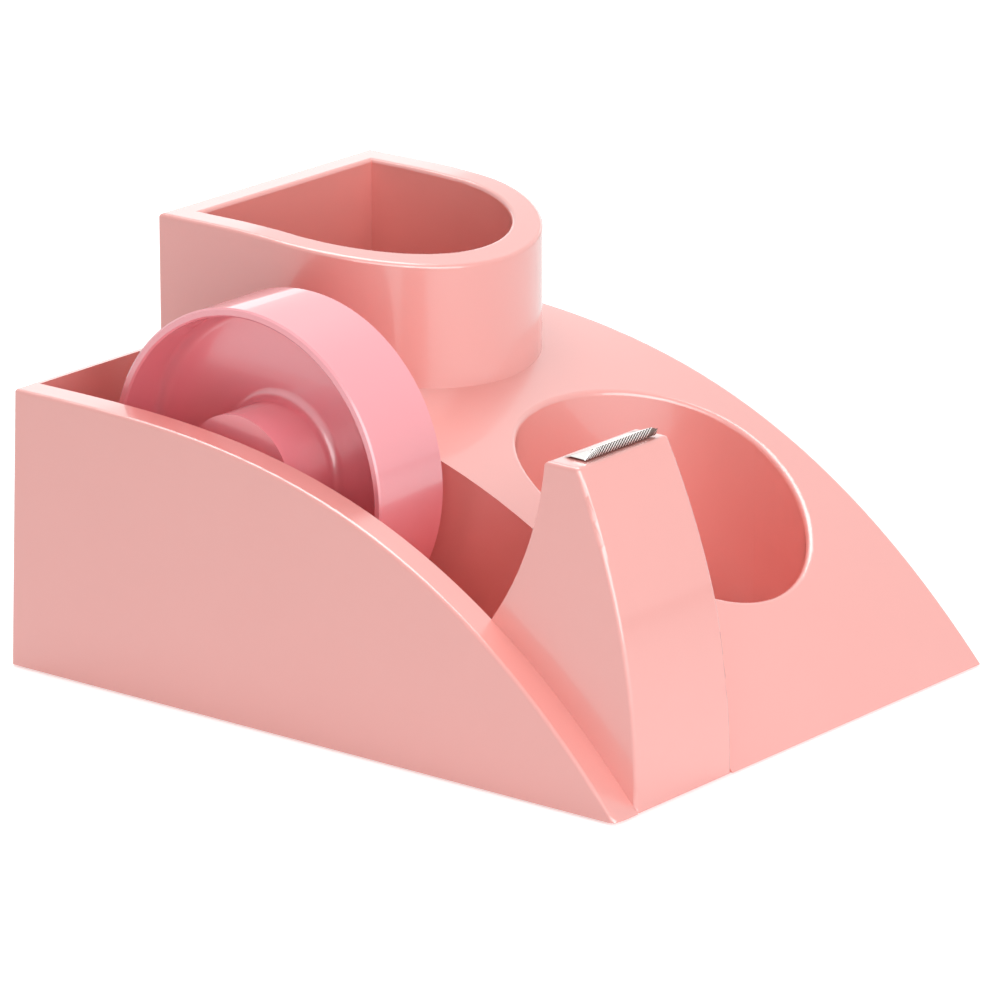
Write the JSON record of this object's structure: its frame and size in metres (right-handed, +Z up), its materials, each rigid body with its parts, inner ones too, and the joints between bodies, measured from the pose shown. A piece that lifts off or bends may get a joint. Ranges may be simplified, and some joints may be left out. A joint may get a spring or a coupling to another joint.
{
  "type": "desk organizer with tape dispenser",
  "caption": "Desktop organizer with an open tape bay and spinning tape wheel, a serrated cutter post, a rounded pen cup and an open well in a sloping deck.",
  "frame": {"origin": "middle of the outline on the plane that the feet stand on", "axes": "+X right seen from the front, +Y to the back, +Z up"},
  "size_m": [0.1324, 0.1668, 0.0926],
  "materials": {
    "shell": "glossy moulded shell",
    "wheel": "glossy moulded wheel",
    "cover": "fine matte underside",
    "blade": "bright folded strip",
    "axle": "ground pin",
    "ballast": "raw plate",
    "screw": "plated",
    "foot": "soft matte"
  },
  "bodies": {
    "base": {"body": "shell", "base_cover": "cover", "ballast_plate": "ballast", "cover_screws": "screw", "foot_front_left": "foot", "foot_front_right": "foot", "foot_back_left": "foot", "foot_back_right": "foot", "blade": "blade"},
    "axle": {"axle": "axle"},
    "wheel": {"tape_wheel": "wheel"}
  },
  "joints": [
    {"name": "axle_lift", "type": "slide", "parent": "base", "child": "axle", "axis": [0, 0, 1], "range_m": [0, 0.055]},
    {"name": "wheel_spin", "type": "hinge", "parent": "axle", "child": "wheel", "pos_m": [-0.04195, 0.02662, 0.0505], "axis": [1, 0, 0], "continuous": true}
  ]
}
